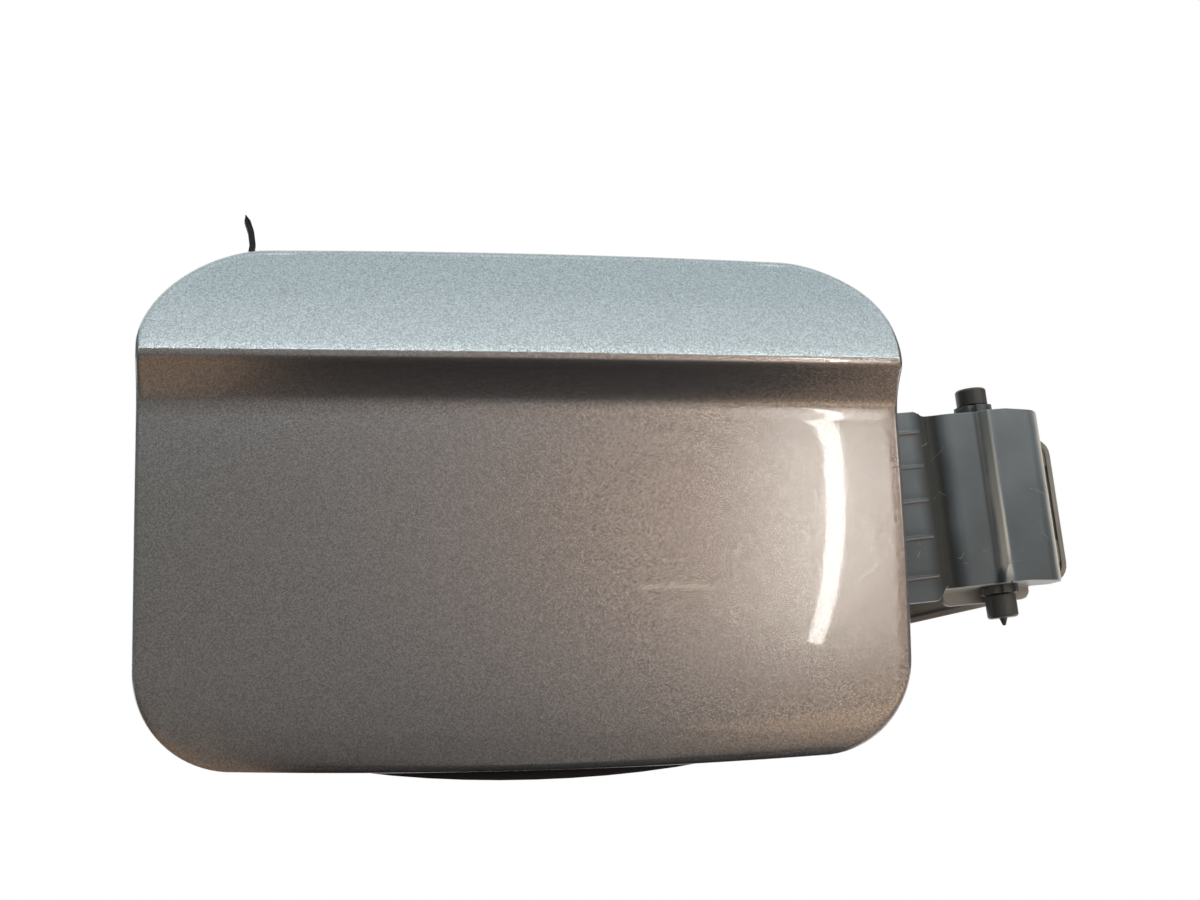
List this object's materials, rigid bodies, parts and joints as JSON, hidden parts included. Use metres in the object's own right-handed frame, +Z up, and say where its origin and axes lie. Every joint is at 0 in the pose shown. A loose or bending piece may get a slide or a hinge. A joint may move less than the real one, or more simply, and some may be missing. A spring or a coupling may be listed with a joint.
{
  "type": "car fuel door",
  "caption": "Painted car fuel door with a creased face on a black inner panel, carried by a swan-neck hinge arm that swings on two pins in a fixed base.",
  "frame": {"origin": "on the flat rear face of the hinge base, straight behind the middle of the hinge axis", "axes": "+X to the right along the closed door, +Y into the car away from the painted face, +Z up"},
  "size_m": [0.2502, 0.044, 0.1417],
  "materials": {
    "panel_paint": "gloss metallic paint with clear coat",
    "inner_plastic": "satin moulded",
    "mastic": "matte",
    "arm_plastic": "satin moulded, lightly scuffed",
    "screw_steel": "zinc plated",
    "striker_steel": "zinc plated",
    "rivet_aluminium": "satin",
    "buffer_rubber": "matte",
    "holder_plastic": "satin moulded",
    "strap_rubber": "matte",
    "stud_plastic": "satin moulded",
    "base_plastic": "satin moulded",
    "pin_plastic": "satin",
    "bush_plastic": "satin",
    "spring_steel": "bright spring steel"
  },
  "bodies": {
    "base": {"hinge_base": "base_plastic", "upper_pin": "pin_plastic", "lower_pin": "pin_plastic", "snap_spring": "spring_steel", "spring_rivets": "rivet_aluminium", "stop_buffer": "buffer_rubber"},
    "door": {"outer_panel": "panel_paint", "inner_panel": "inner_plastic", "bonding_pads": "mastic", "hinge_arm": "arm_plastic", "arm_screws": "screw_steel", "latch_striker": "striker_steel", "striker_rivets": "rivet_aluminium", "rubber_buffers": "buffer_rubber", "cap_holder": "holder_plastic", "cap_holder_rivets": "rivet_aluminium", "tether_strap": "strap_rubber", "tether_stud": "stud_plastic", "upper_bush": "bush_plastic", "lower_bush": "bush_plastic"}
  },
  "joints": [
    {"name": "door_swing", "type": "hinge", "parent": "base", "child": "door", "pos_m": [0, -0.021, 0], "axis": [-0.0837, 0, 0.9965], "range_deg": [0, 90]}
  ]
}
